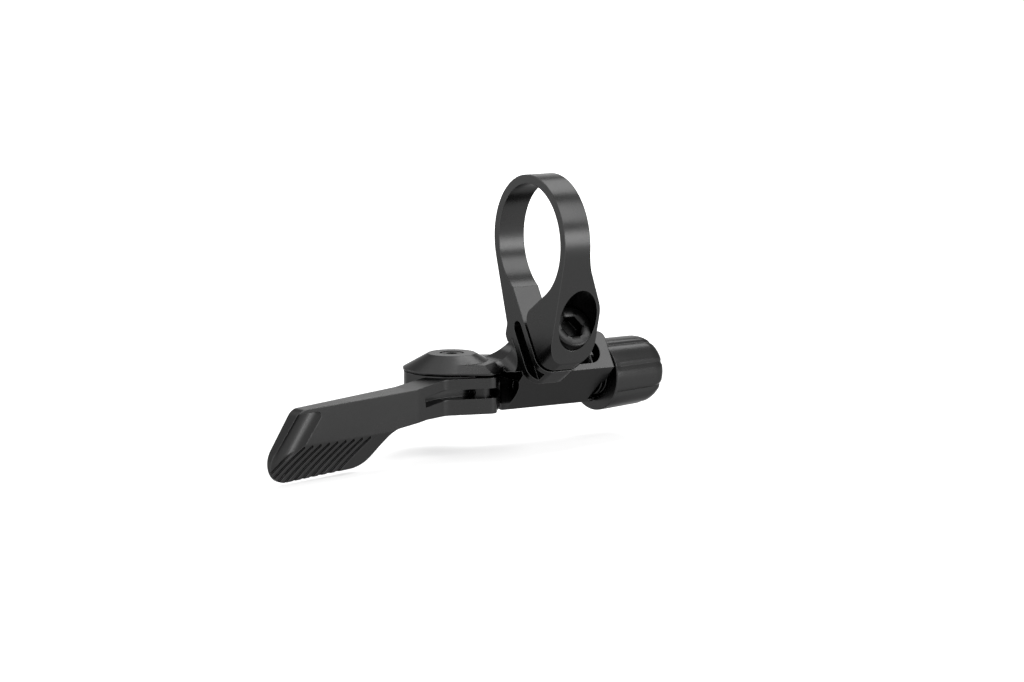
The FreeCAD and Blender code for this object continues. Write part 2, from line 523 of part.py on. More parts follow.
def bracket():
    top_v = "plate_front + bracket_depth"
    front_y = "plate_front * cos(clamp_tilt) - plate_top * sin(clamp_tilt)"
    front_z = "0 - plate_front * sin(clamp_tilt) - plate_top * cos(clamp_tilt)"
    top_y = f"({top_v}) * cos(clamp_tilt) - plate_top * sin(clamp_tilt)"
    top_z = f"0 - ({top_v}) * sin(clamp_tilt) - plate_top * cos(clamp_tilt)"
    foot_y = "edge_y + (bracket_bottom + edge_z) / tan(lower_slope)"
    left = "0 - bracket_left"
    block = prism("bracket_block", [
        (front_y, front_z), ("edge_y", "edge_z"), (foot_y, "0 - bracket_bottom"),
        ("bracket_back", "0 - bracket_bottom", "back_corner"),
        ("bracket_back", "0 - bracket_shoulder", "shoulder_corner"), (top_y, top_z)],
        at(left + " - arm_fillet") + " * " + VQ_PLANE, "bracket_right + bracket_left + arm_fillet")
    above_arm = prism("bracket_above_arm", [
        (left + " - 3 * arm_fillet", "0"), (left + " - 3 * arm_fillet", "0 - arm_top"),
        (left, "0 - arm_top", "arm_fillet - least_flat"), (left, "0")],
        at("0", "4 * pivot_y") + " * " + XQ_PLANE, "6 * pivot_y")
    below_arm = box("bracket_below_arm", "4 * arm_fillet", "6 * pivot_y", "bracket_bottom",
                    at(left + " - 4 * arm_fillet", "0 - 2 * pivot_y", "0 - cap_under - bracket_bottom"))
    hub_room = cylinder("bracket_hub_room", "hub_radius + hub_clearance", "bracket_bottom",
                        at("pivot_x", "pivot_y", "0 - cap_under - bracket_bottom"))
    corner = prism("bracket_corner", [
        (left + " - 9 * arm_fillet", "0 - plate_top"), (left + " - 9 * arm_fillet", "0 - 3 * plate_edge"),
        ("bracket_right", "0 - 3 * plate_edge"), ("bracket_right", "0 - plate_top", "corner_round")],
        CLAMP + " * " + at("0", "4 * pivot_y") + " * " + XQ_PLANE, "8 * pivot_y")
    shell = common("bracket_shell", cut("bracket_stepped", block, above_arm, below_arm), corner)
    arm_low = "0 - cap_under"
    blank = prism("bracket_arm_blank", [
        ("arm_edge_x", "arm_edge_y"), ("lobe_x", "lobe_y", "lobe_radius"), (left, "meet_y"),
        ("arm_right", "meet_y"), ("arm_right", "back_edge_y - (arm_right - back_edge_x) * tan(back_slant)"),
        ("back_edge_x", "back_edge_y"), ("pivot_x", "pivot_y")],
        at("0", "0", arm_low), "cap_under - arm_top")
    # The arm's edges carry on the cone's slope
    sloped = at(axis="1; 0; 0", turn="bevel_slope") + " * " + at("0 - long_tool / 2", "0 - short_tool")
    bevel_size = ("long_tool", "3 * short_tool", "2 * short_tool")
    front_bevel = box("bracket_front_bevel", *bevel_size, at(
        "arm_edge_x", "arm_edge_y", "0 - bevel_foot", "0; 0; 1", "0 - arm_slant") + " * " + sloped)
    back_bevel = box("bracket_back_bevel", *bevel_size, at(
        "back_edge_x", "back_edge_y", "0 - bevel_foot", "0; 0; 1", "180 - back_slant") + " * " + sloped)
    arm = cut("bracket_arm", blank, front_bevel, back_bevel)
    # The side edge does so too, and meets the bracket in a hollow fillet that falls towards the rider
    fall = "atan(tan(bevel_slope) * cos(meet_slant))"
    rise = (f"sin(bevel_slope) * sin(meet_slant) / (cos({fall}) * cos(bevel_slope)"
            f" + sin({fall}) * sin(bevel_slope) * cos(meet_slant))")
    side_bevel = prism("bracket_side_bevel", [
        ("0 - long_tool / 2", f"long_tool / 2 * {rise}"), ("0", "0", "arm_fillet - least_flat"),
        ("0", "long_tool / 2"), ("0 - long_tool / 2", "long_tool")],
        at(left, "meet_y", "0 - bevel_foot", "1; 0; 0", fall) + " * " + at("0", "long_tool")
        + " * " + XQ_PLANE, "2 * long_tool")
    trimmed = cut("bracket_trimmed", fuse("bracket_joined", shell, arm), side_bevel)
    cone = bind(doc.addObject("Part::Cone", "bracket_cone"), Radius1="cap_radius",
                Radius2="cap_top_radius", Height="cap_height",
                Placement=at("pivot_x", "pivot_y", "0 - cap_top - cap_height"))
    rim = cylinder("bracket_rim", "cap_radius", "cap_rim", at("pivot_x", "pivot_y", arm_low))
    solid = fuse("bracket_solid", trimmed, cone, rim)
    recess = cylinder("bracket_recess", "recess_radius", "bracket_bottom",
                      at("pivot_x + recess_x", "pivot_y - recess_y", "0 - recess_top - bracket_bottom"))
    slot_back = "channel_front + nut_thick / 2"
    slot_ends = [cylinder(f"bracket_slot_end_{i}", "bolt_hole_radius", "2 * channel_back",
                          CLAMP + " * " + at(f"bolt_x + {i} * slot_travel", slot_back,
                                             "0 - bolt_drop", "1; 0; 0", "90")) for i in (0, 1)]
    slot = box("bracket_slot", "slot_travel", "channel_back", "2 * bolt_hole_radius",
               CLAMP + " * " + at("bolt_x", slot_back + " - channel_back",
                                  "0 - bolt_drop - bolt_hole_radius"))
    channel = box("bracket_channel", "2 * bracket_right", "nut_thick + 2 * fit", "nut_width + 2 * fit",
                  CLAMP + " * " + at("bolt_x - nut_length / 2 + nut_shift - fit", "channel_front",
                                     "0 - bolt_drop - nut_width / 2 - fit"))
    wire = cylinder("bracket_wire_hole", "wire_hole", "long_tool",
                    CABLE + " * " + at("0", "0", "0 - long_tool / 2"))
    thread = cylinder("bracket_thread", "stem_radius + fit", "2 * stem_length",
                      CABLE + " * " + at("0", "0", "knob_start - stem_length - thread_spare"))
    spot = cylinder("bracket_spot", "spot_radius", "short_tool",
                    CABLE + " * " + at("0", "0", "knob_start - spot_depth"))
    knob_face = cylinder("bracket_knob_face", "knob_radius + knob_gap", "short_tool",
                         CABLE + " * " + at("0", "0", "knob_start - knob_gap"))
    pivot_hole = cylinder("bracket_pivot_hole", "screw_radius + 2 * fit", "short_tool",
                          at("pivot_x", "pivot_y", "0 - cap_under - overrun"))
    head_hole = cylinder("bracket_head_hole", "screw_head_radius + fit", "short_tool",
                         at("pivot_x", "pivot_y", "0 - cap_top - screw_head_height"))
    body = cut("bracket", solid, hub_room, recess, slot, *slot_ends, channel, wire, thread, spot,
               knob_face, pivot_hole, head_hole)
    finish(body, "bracket")


def lever():
    low = "0 - hub_bottom"
    hub = cylinder("lever_hub", "hub_radius", "hub_height", at("pivot_x", "pivot_y", low))
    past_tip = "0 - paddle_tip - 2 * overrun"
    plan = prism("lever_plan", [
        (past_tip, "0 - arm_reach"), ("0 - arm_face_start", "0 - arm_reach", "arm_face_round"),
        ("0 - valley_x", "0 - valley_reach", "valley_radius"), ("fork_x", "0 - fork_reach", "fork_corner"),
        ("fork_back_x", "0 - fork_back_reach"), ("0", "0"), ("0 - arm_back_start", "0 - arm_back_reach"),
        (past_tip, "0 - arm_tip_reach")],
        at("pivot_x", "pivot_y", "0 - long_tool", "0; 0; 1", "arm_angle"), "long_tool")
    side = prism("lever_side", [
        ("hub_radius", low), ("hub_radius", "0 - fork_top"),
        ("0 - fork_step", "0 - fork_top", "fork_step_round"),
        ("0 - arm_root", "0 - arm_root_top", "arm_root_round"),
        ("0 - paddle_shoulder", "0 - paddle_top", "shoulder_round"),
        ("0 - paddle_tip", "0 - paddle_bottom", "paddle_round"),
        ("0 - paddle_heel", "0 - paddle_heel_bottom", "heel_round"),
        ("0 - paddle_notch", "0 - paddle_notch_bottom", "notch_round"), ("0 - arm_foot", low)],
        ARM + " * " + at("0", "0", "0 - short_tool / 2"), "long_tool / 2")
    blank = fuse("lever_blank", hub, common("lever_arm", plan, side))
    past_end = "0 - long_tool - short_tool"
    heel_side = "overrun - paddle_notch"
    region = prism("lever_face_region", [
        (past_end, "0 - long_tool"), (past_end, "0 - plateau_edge"),
        ("0 - plateau_top", "0 - plateau_edge", "plateau_corner"),
        ("0 - plateau_nose", "0 - plateau_nose_height", "plateau_corner"),
        ("0 - plateau_foot", "0 - scoop_top", "plateau_corner"),
        (heel_side, "0 - scoop_top"), (heel_side, "0 - long_tool")],
        ARM + " * " + at("0", "0", "arm_reach - overrun"), "2 * overrun")
    chord = "(paddle_bottom - scoop_top)"
    scoop_r = f"({chord} * {chord} + scoop_depth * scoop_depth) / (2 * scoop_depth)"
    cove_r = "(cove_width * cove_width / 4 + cove_depth * cove_depth) / (2 * cove_depth)"
    along = ARM + " * " + at(past_end, "0 - paddle_bottom", f"arm_reach - scoop_depth + {scoop_r}",
                             "0; 1; 0", "90")
    scoop = cylinder("lever_scoop", scoop_r, "long_tool + 2 * short_tool", along)
    deep = cylinder("lever_groove_floor", scoop_r + " + groove_depth", "long_tool + 2 * short_tool", along)
    diagonal = "atan((paddle_bottom - paddle_top) / (paddle_tip - paddle_shoulder))"
    cove = cylinder("lever_cove", cove_r, "long_tool", ARM + " * "
                    + at("0 - cove_x", "0 - cove_height", f"arm_reach - cove_depth + {cove_r}",
                         "0; 0; 1", diagonal)
                    + " * " + at("0 - long_tool / 2", axis="0; 1; 0", turn="90"))
    hollow = common("lever_hollow", fuse("lever_rollers", scoop, cove), region)
    grooves = [box(f"lever_groove_{i}", "groove_length", "groove_width", "3 * overrun", ARM + " * "
                   + at(f"0 - groove_start - {i} * groove_pitch", "0 - scoop_top - groove_gap",
                        "arm_reach - 2 * overrun", "0; 0; 1", "groove_angle")
                   + " * " + at("0 - groove_length"))
               for i in range(int(value("groove_count")))]
    grip = common("lever_grip", fuse("lever_grooves", *grooves), deep)
    rib_hole = cylinder("lever_rib_hole", "bearing_radius - rib_width", "long_tool",
                        at("pivot_x", "pivot_y", "0 - long_tool"))
    upper_seat = cylinder("lever_upper_seat", "bearing_radius", "long_tool",
                          at("pivot_x", "pivot_y", "0 - spacer_top"))
    lower_seat = cylinder("lever_lower_seat", "bearing_radius", "long_tool",
                          at("pivot_x", "pivot_y", "0 - lower_bearing - long_tool"))
    slot_low = "cable_z - fork_slot / 2"
    slot_front = "pivot_y - drum_radius - short_tool"
    slot_left = box("lever_slot_left", "slot_reach", "short_tool", "fork_slot",
                    at("pivot_x - slot_reach", slot_front, slot_low))
    slot_end = box("lever_slot_end", "slot_tail + lap", "short_tool", "fork_slot",
                   at("pivot_x - slot_reach", slot_front, slot_low, "0; 1; 0", "0 - slot_dip")
                   + " * " + at("0 - slot_tail"))
    slot_right = box("lever_slot_right", "2 * drum_radius", "2 * short_tool", "fork_slot",
                     at("pivot_x", slot_front, slot_low))
    drum = cylinder("lever_drum", "drum_radius", "fork_slot", at("pivot_x", "pivot_y", slot_low))
    slot = fuse("lever_slot", slot_end, slot_left, cut("lever_slot_round", slot_right, drum))
    anchor_hole = cylinder("lever_anchor_hole", "anchor_radius + fit", "long_tool",
                           at("anchor_x", "anchor_y", "0 - long_tool"))
    body = cut("lever", blank, hollow, grip, rib_hole, upper_seat, lower_seat, slot, anchor_hole)
    finish(body, "lever")


def pivot_pieces():
    axle_end = "0 - stack_end - flange_height"
    axle = turned("pivot_axle", [
        ("0", axle_end), ("flange_radius", axle_end, "flange_edge"),
        ("flange_radius", "0 - stack_end"), ("axle_radius", "0 - stack_end"),
        ("axle_radius", "0 - cap_under"), ("screw_radius", "0 - cap_under"),
        ("screw_radius", "axle_floor - stack_end"), ("0", "axle_floor - stack_end")], PIVOT)
    finish(axle, "pivot_axle")
    head_top = "0 - cap_top - screw_sink"
    head_under = "0 - cap_top - screw_head_height"
    screw_end = "axle_floor + screw_short - stack_end"
    screw = turned("pivot_screw", [
        ("0", screw_end), ("screw_radius", screw_end), ("screw_radius", head_under),
        ("screw_head_radius", head_under), ("screw_head_radius", head_top, "screw_edge"),
        ("0", head_top)], PIVOT)
    socket(screw, "screw_hex", "screw_hex_depth", head_top)
    finish(screw, "pivot_screw")
    rings = [("upper_shim", "cap_under", "upper_bearing"), ("inner_spacer", "spacer_top", "lower_bearing")]
    for name, top, bottom in rings:
        ring = turned(name, [
            ("axle_radius", "0 - " + bottom), ("axle_radius + ring_wall", "0 - " + bottom),
            ("axle_radius + ring_wall", "0 - " + top), ("axle_radius", "0 - " + top)], PIVOT)
        finish(ring, name)


def bearing(side, top):
    """A deep groove ball bearing: two grooved rings, their balls and two shields."""
    bottom = f"({top}) + bearing_height"
    middle = f"({top}) + bearing_height / 2"
    pitch = "(axle_radius + bearing_radius) / 2"
    groove = "ball_radius + ball_play"
    for name, inner, outer in (("inner_ring", "axle_radius", "axle_radius + ring_wall"),
                               ("outer_ring", "bearing_radius - ring_wall", "bearing_radius")):
        ring = turned(f"{side}_{name}", [
            (inner, f"0 - ({bottom})"), (outer, f"0 - ({bottom})"), (outer, f"0 - ({top})"),
            (inner, f"0 - ({top})")], PIVOT)
        track = ring.newObject("PartDesign::SubtractiveTorus", f"{side}_{name}_track")
        track.AttachmentSupport = [(plane_of(ring, "XY_Plane"), "")]
        track.MapMode = "FlatFace"
        bind(track, Radius1=pitch, Radius2=groove, AttachmentOffset=at("0", "0", f"0 - ({middle})"))
        finish(ring, f"{side}_{name}")
    balls = []
    for i in range(int(value("ball_count"))):
        ball = doc.addObject("Part::Sphere", f"{side}_ball_{i}")
        bind(ball, Radius="ball_radius",
             Placement=PIVOT + " * " + at("0", "0", f"0 - ({middle})", "0; 0; 1", f"{i} * 360 / ball_count")
             + " * " + at(pitch))
        balls.append(ball)
    group = doc.addObject("Part::Compound", f"{side}_balls")
    group.Links = balls
    finish(group, f"{side}_balls")
    shields = []
    shield_heights = (f"0 - ({top}) - shield_inset - shield_thick", f"0 - ({bottom}) + shield_inset")
    for i, height in enumerate(shield_heights):
        plate = cylinder(f"{side}_shield_plate_{i}", "bearing_radius - ring_wall", "shield_thick",
                         PIVOT + " * " + at("0", "0", height))
        hole = cylinder(f"{side}_shield_hole_{i}", "axle_radius + ring_wall + shield_gap",
                        "3 * shield_thick", PIVOT + " * " + at("0", "0", height + " - shield_thick"))
        shields.append(cut(f"{side}_shield_{i}", plate, hole))
    pair = doc.addObject("Part::Compound", f"{side}_shields")
    pair.Links = shields
    finish(pair, f"{side}_shields")


def cable_pieces():
    half = "anchor_height / 2"
    barrel = cylinder("anchor_barrel", "anchor_radius", "anchor_height",
                      ANCHOR + " * " + at("0", "0", "0 - " + half))
    cross = cylinder("anchor_cross_hole", "anchor_wire_hole", "3 * anchor_radius",
                     ANCHOR + " * " + at("-1.5 * anchor_radius", axis="0; 1; 0", turn="90"))
    thread = cylinder("anchor_thread", "pinch_radius", half, ANCHOR + " * " + at("0", "0", "0 - " + half))
    finish(cut("cable_anchor", barrel, cross, thread), "cable_anchor")
    pinch_low = "pinch_sink - " + half
    pinch_top = pinch_low + " + pinch_length"
    screw = turned("pinch_screw", [
        ("0", pinch_low), ("pinch_radius", pinch_low), ("pinch_radius", pinch_top, "pinch_point"),
        ("0", pinch_top)], ANCHOR)
    socket(screw, "pinch_hex", "pinch_hex_depth", pinch_low + " + pinch_hex_depth")
    finish(screw, "pinch_screw")


def adjuster():
    end = "knob_start + knob_length"
    pocket = "knob_start + spring_pocket_depth"
    stem_end = "knob_start - stem_length"
    knob = turned("barrel_adjuster", [
        ("wire_hole", stem_end), ("stem_radius", stem_end, "stem_edge"), ("stem_radius", pocket),
        ("spring_pocket_radius", pocket), ("spring_pocket_radius", "knob_start"),
        ("knob_radius", "knob_start", "knob_edge"), ("knob_tip_radius", end, "knob_round"),
        ("housing_radius", end), ("housing_radius", end + " - housing_depth"),
        ("wire_hole", end + " - housing_depth")], CABLE)
    flute = knob.newObject("PartDesign::SubtractiveCylinder", "adjuster_flute")
    flute.AttachmentSupport = [(plane_of(knob, "XY_Plane"), "")]
    flute.MapMode = "FlatFace"
    bind(flute, Radius="flute_radius", Height="knob_length - 2 * flute_inset",
         AttachmentOffset=at("knob_tip_radius + flute_radius - flute_depth", "0",
                             "knob_start + flute_inset"))
    ring = knob.newObject("PartDesign::PolarPattern", "adjuster_flutes")
    ring.Originals = [flute]
    ring.Axis = (plane_of(knob, "Z_Axis"), "")
    ring.Angle = 360
    bind(ring, Occurrences="flute_count")
    knob.Tip = ring
    finish(knob, "barrel_adjuster")
    coil = doc.addObject("Part::Helix", "spring_path")
    coil.SegmentLength = 1
    bind(coil, Pitch="spring_pitch", Height="spring_turns * spring_pitch", Radius="spring_radius")
    section = outline(doc.addObject("Sketcher::SketchObject", "spring_section"), [
        ("spring_radius - spring_wire / 2", "0 - spring_wire / 2"),
        ("spring_radius + spring_wire / 2", "0 - spring_wire / 2"),
        ("spring_radius + spring_wire / 2", "spring_wire / 2"),
        ("spring_radius - spring_wire / 2", "spring_wire / 2")])
    bind(section, Placement=XQ_PLANE)
    spring = doc.addObject("Part::Sweep", "adjuster_spring")
    spring.Sections = [section]
    spring.Spine = (coil, [f"Edge{turn + 1}" for turn in range(int(value("spring_turns")))])
    spring.Solid = True
    spring.Frenet = True
    bind(spring, Placement=CABLE + " * " + at("0", "0", "knob_start - spot_depth + spring_wire / 2"))
    finish(spring, "adjuster_spring")
    cord = doc.addObject("Part::Torus", "adjuster_o_ring")
    bind(cord, Radius1="stem_radius + ring_cord + ring_gap", Radius2="ring_cord",
         Placement=CABLE + " * " + at("0", "0", pocket + " - ring_cord - ring_gap"))
    finish(cord, "adjuster_o_ring")


clamp_band()
clamp_fasteners()
bracket()
lever()
pivot_pieces()
bearing("upper", "upper_bearing")
bearing("lower", "lower_bearing")
cable_pieces()
adjuster()
doc.recompute()

for item in doc.Objects:
    faults = [state for state in item.State if state in ("Invalid", "Error")]
    if faults:
        raise RuntimeError(f"{item.Name} failed: {faults}")
os.makedirs("parts", exist_ok=True)
for part in PARTS:
    if part.Shape.isNull() or not part.Shape.isValid():
        raise RuntimeError(f"{part.Label} has no valid shape")
for part in PARTS:
    part.Shape.exportStep(f"parts/{part.Label}.step")
    box_size = part.Shape.BoundBox
    print(f"{part.Label}: {len(part.Shape.Solids)} solid, {part.Shape.Volume:.1f} mm3, "
          f"x {box_size.XMin:.1f} to {box_size.XMax:.1f}, y {box_size.YMin:.1f} to {box_size.YMax:.1f}, "
          f"z {box_size.ZMin:.1f} to {box_size.ZMax:.1f}")
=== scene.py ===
import json
import math

import bpy
from mathutils import Matrix, Vector


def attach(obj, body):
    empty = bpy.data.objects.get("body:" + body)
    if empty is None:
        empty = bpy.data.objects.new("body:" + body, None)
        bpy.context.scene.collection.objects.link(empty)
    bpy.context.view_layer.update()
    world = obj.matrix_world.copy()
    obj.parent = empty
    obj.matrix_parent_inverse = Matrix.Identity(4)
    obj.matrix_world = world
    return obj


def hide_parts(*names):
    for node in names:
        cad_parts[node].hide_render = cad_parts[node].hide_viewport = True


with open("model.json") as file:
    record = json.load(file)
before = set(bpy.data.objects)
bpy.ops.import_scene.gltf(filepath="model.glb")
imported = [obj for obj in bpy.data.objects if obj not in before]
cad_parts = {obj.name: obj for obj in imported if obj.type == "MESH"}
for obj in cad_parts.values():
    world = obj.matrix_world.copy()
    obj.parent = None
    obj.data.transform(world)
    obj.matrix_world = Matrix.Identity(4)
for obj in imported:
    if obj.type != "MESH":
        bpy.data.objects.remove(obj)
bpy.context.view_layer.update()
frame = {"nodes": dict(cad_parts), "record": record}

MM = 0.001
SNAP = 0.001 * MM
SMOOTH_ANGLE = math.radians(32)

# Camera, fitted to the photograph's view of the clamp ring
CAMERA_PLACE = (-366.5 * MM, -590.7 * MM, 84.4 * MM)
CAMERA_AZIMUTH = -31.35
CAMERA_ELEVATION = 8.48
CAMERA_LENS = 129.47
NEAREST_SEEN = 10 * MM

# Studio: what the lamps leave in shadow gets FILL_LIGHT from all round, and the floor's own glow
# grows from FLOOR_GLOW near the object to full white between SHADOW_REACH and SWEEP_START
BACKDROP = "#FFFFFF"
FILL_LIGHT = 0.16
FLOOR_COLOUR = "#E8E8E8"
FLOOR_SIZE = 6
FLOOR_DROP = 41 * MM
FLOOR_GLOW = 0.60
SHADOW_REACH = 0.16
SWEEP_START = 0.45

# Softboxes, all aimed at LIT_POINT from LAMP_DISTANCE: name, azimuth from straight away from the
# rider towards the stem, elevation, size in metres and power in watts
LIT_POINT = (-12 * MM, 5 * MM, -20 * MM)
LAMP_DISTANCE = 0.8
LAMPS = [
    ("key_softbox", 138, 45, 0.4, 2.3),
    ("low_key_softbox", 139, 9, 0.25, 2.0),
    ("back_right_softbox", 60, 50, 0.4, 3.3),
    ("back_left_softbox", -30, 8, 0.3, 0.8),
    ("back_softbox", 31, 22, 0.3, 0.35),
    ("front_strip", 150, 5, 0.3, 0.5),
    ("left_softbox", -110, 15, 0.4, 0.8),
    ("rear_softbox", -20, 55, 0.4, 0.7),
    ("top_softbox", 35, 72, 0.3, 0.4),
]

# Finishes by material slot. The grain is drawn about three times coarser than real blasting or
# oxide grain, which the picture would lose; mottle is how much the roughness varies in patches,
# and edge is the radius to which the edges look broken
SURFACES = {
    # Aluminium, bead blasted and anodised black: a fine even grain with a soft satin sheen
    "black_anodised": {
        "name": "black_anodised_aluminium", "colour": "#343434", "worn_colour": "#4C4C4C",
        "roughness": 0.26, "mottle": 0.03, "grain": 0.22 * MM, "grain_height": 0.06,
        "edge": 0.22 * MM, "edge_tint": "#BCBCBC"},
    # Steel screws with a black oxide skin: duller, and speckled more coarsely
    "black_steel": {
        "name": "black_oxide_steel", "colour": "#2C2C2C", "worn_colour": "#464646",
        "roughness": 0.34, "mottle": 0.05, "grain": 0.3 * MM, "grain_height": 0.06,
        "edge": 0.12 * MM, "edge_tint": "#BCBCBC"},
    # Bearing steel, ground bright
    "bearing_steel": {
        "name": "ground_bearing_steel", "colour": "#B4B5B8", "worn_colour": "#C4C5C8",
        "roughness": 0.24, "mottle": 0.05, "grain": 0.12 * MM, "grain_height": 0.05,
        "edge": 0.06 * MM, "edge_tint": "#FFFFFF"},
    # Moulded nitrile rubber: matt black with a faint dusty bloom
    "seal_rubber": {
        "name": "nitrile_rubber", "colour": "#141414", "worn_colour": "#1C1C1C",
        "roughness": 0.7, "mottle": 0.08, "grain": 0.4 * MM, "grain_height": 0.08,
        "edge": 0.05 * MM, "edge_tint": "#FFFFFF", "metallic": 0.0},
}
PATCH_SIZE = 9 * MM
PATCH_DETAIL = 4.0
PATCH_BREAKUP = 0.55
PATCH_RANGE = (0.3, 0.7)
GRAIN_DETAIL = 3.0
GRAIN_BREAKUP = 0.6
GRAIN_RANGE = (0.25, 0.75)
GRAIN_SHADE = (0.92, 1.08)
GRAIN_RELIEF = 0.3
EDGE_SAMPLES = 6
WORN_RANGE = (0.985, 0.80)

# Clamp bolt, an M5 socket-head screw: heights run along its axis, out of the head
BOLT_ORIGIN = (2.3 * MM, -9.06 * MM, -14.50 * MM)
BOLT_AXIS = (0, -0.848, 0.530)
BOLT_SIDE = (1, 0, 0)
BOLT_STEPS = 96
BOLT_HEAD_RADIUS = 4.1 * MM
BOLT_HEAD_TOP = -2.0 * MM
BOLT_HEAD_SEAT = -6.0 * MM
BOLT_SHANK_RADIUS = 2.45 * MM
BOLT_SHANK_END = -19.9 * MM
BOLT_END_CHAMFER = 0.5 * MM
HEAD_ROUNDING = 0.35 * MM
HEAD_BEND = 0.3
KNURL_DEPTH = 0.12 * MM
KNURL_MARGIN = 0.5 * MM
SOCKET_MOUTH = 2.5 * MM
SOCKET_FLATS = 2.0 * MM
SOCKET_DEPTH = 2.6 * MM
SOCKET_CHAMFER = 0.25 * MM

# Adjuster knob: heights run along its axis, away from the bracket. A pair is (radius, height)
KNOB_ORIGIN = (21.4 * MM, 11.0 * MM, -28.7 * MM)
KNOB_AXIS = (0.983255, 0.182236, 0)
KNOB_FLUTE_SIDE = (0.172, -0.928, 0.331)
KNOB_STEPS = 144
KNOB_INNER = (6.95 * MM, -3.1 * MM)
KNOB_INNER_BREAK = 0.2 * MM
KNOB_SHOULDER = (6.75 * MM, 7.2 * MM)
KNOB_FACE = (4.4 * MM, 11.0 * MM)
KNOB_DOME_RINGS = 9
STEM_RADIUS = 2.45 * MM
STEM_END = -12.1 * MM
STEM_CHAMFER = 0.4 * MM
WIRE_BORE = 1.0 * MM
SPRING_POCKET = (4.4 * MM, 0.9 * MM)
HOUSING_SEAT = (2.55 * MM, 2.5 * MM)
SEAT_CHAMFER = 0.3 * MM
FLUTES = 8
FLUTE_START = 0.9 * MM
# Depth of a flute by the number of steps from its middle
FLUTE_DEPTHS = {0: 0.34 * MM, 1: 0.23 * MM, 2: 0.08 * MM}

# Adjuster spring, on the knob's axis
SPRING_RADIUS = 3.58 * MM
SPRING_WIRE_RADIUS = 0.25 * MM
SPRING_WIRE_SIDES = 12
SPRING_ENDS = (-4.18 * MM, 0.62 * MM)
SPRING_TURNS = 4
SPRING_STEPS = 48


def linear(hex_colour):
    """sRGB hex to the linear colour that shaders work in."""
    channels = [int(hex_colour[i:i + 2], 16) / 255 for i in (1, 3, 5)]
    return tuple(c / 12.92 if c <= 0.04045 else ((c + 0.055) / 1.055) ** 2.4 for c in channels) + (1,)


def add_node(tree, kind, inputs=None, **settings):
    """Adds a shader node, sets it up and links or fills its inputs."""
    made = tree.nodes.new(kind)
    for name, value in settings.items():
        setattr(made, name, value)
    for name, value in (inputs or {}).items():
        if isinstance(value, bpy.types.NodeSocket):
            tree.links.new(value, made.inputs[name])
        else:
            made.inputs[name].default_value = value
    return made


def new_material(name):
    material = bpy.data.materials.new(name)
    material.use_nodes = True
    material.node_tree.nodes.clear()
    return material, material.node_tree


def finish_material(tree, shader):
    output = add_node(tree, "ShaderNodeOutputMaterial")
    tree.links.new(shader.outputs[0], output.inputs["Surface"])


def blend_colours(tree, share, low, high):
    """The hex colour low where share is 0 and high where it is 1."""
    mix = add_node(tree, "ShaderNodeMix", {"Factor": share}, data_type="RGBA")
    mix.inputs[6].default_value = linear(low)
    mix.inputs[7].default_value = linear(high)
    return mix.outputs[2]


def map_range(tree, value, source, target):
    """value with the range source stretched to the range target."""
    return add_node(tree, "ShaderNodeMapRange",
                    {"Value": value, "From Min": source[0], "From Max": source[1],
                     "To Min": target[0], "To Max": target[1]}).outputs["Result"]


def make_finish(name, colour, worn_colour, roughness, mottle, grain, grain_height, edge, edge_tint,
                metallic=1.0):
    """A finish with a grain of its own size, patches a little rougher than others, and broken
    edges where the skin is worn a little lighter."""
    material, tree = new_material(name)
    place = add_node(tree, "ShaderNodeTexCoord").outputs["Object"]
    grains = add_node(tree, "ShaderNodeTexNoise",
                      {"Vector": place, "Scale": 1 / grain, "Detail": GRAIN_DETAIL,
                       "Roughness": GRAIN_BREAKUP}).outputs["Fac"]
    patches = add_node(tree, "ShaderNodeTexNoise",
                       {"Vector": place, "Scale": 1 / PATCH_SIZE, "Detail": PATCH_DETAIL,
                        "Roughness": PATCH_BREAKUP}).outputs["Fac"]
    rough = map_range(tree, patches, PATCH_RANGE, (roughness - mottle, roughness + mottle))
    broken = add_node(tree, "ShaderNodeBevel", {"Radius": edge}, samples=EDGE_SAMPLES).outputs["Normal"]
    flat = add_node(tree, "ShaderNodeNewGeometry").outputs["Normal"]
    bend = add_node(tree, "ShaderNodeVectorMath", {0: broken, 1: flat}, operation="DOT_PRODUCT")
    worn = map_range(tree, bend.outputs["Value"], WORN_RANGE, (0.0, 1.0))
    skin = blend_colours(tree, worn, colour, worn_colour)
    shade = map_range(tree, grains, GRAIN_RANGE, GRAIN_SHADE)
    tint = add_node(tree, "ShaderNodeVectorMath", {0: skin, "Scale": shade}, operation="SCALE")
    bump = add_node(tree, "ShaderNodeBump",
                    {"Height": grains, "Normal": broken, "Strength": grain_height,
                     "Distance": grain * GRAIN_RELIEF})
    shader = add_node(tree, "ShaderNodeBsdfPrincipled",
                      {"Base Color": tint.outputs[0], "Roughness": rough, "Metallic": metallic,
                       "Specular Tint": linear(edge_tint), "Normal": bump.outputs["Normal"]})
    finish_material(tree, shader)
    return material


FINISHES = {slot: make_finish(**surface) for slot, surface in SURFACES.items()}


def dress_nodes():
    """Gives every CAD node the finish of its slot."""
    slots = {s["node"]: s["material_slot"] for s in frame["record"]["subparts"]}
    for name, node in frame["nodes"].items():
        node.data.materials.clear()
        node.data.materials.append(FINISHES[slots[name]])
        for face in node.data.polygons:
            face.material_index = 0


def close_mesh():
    """Turns all faces outward, selects nothing and leaves edit mode."""
    bpy.ops.mesh.select_all(action="SELECT")
    bpy.ops.mesh.normals_make_consistent(inside=False)
    bpy.ops.mesh.select_all(action="DESELECT")
    bpy.ops.object.mode_set(mode="OBJECT")


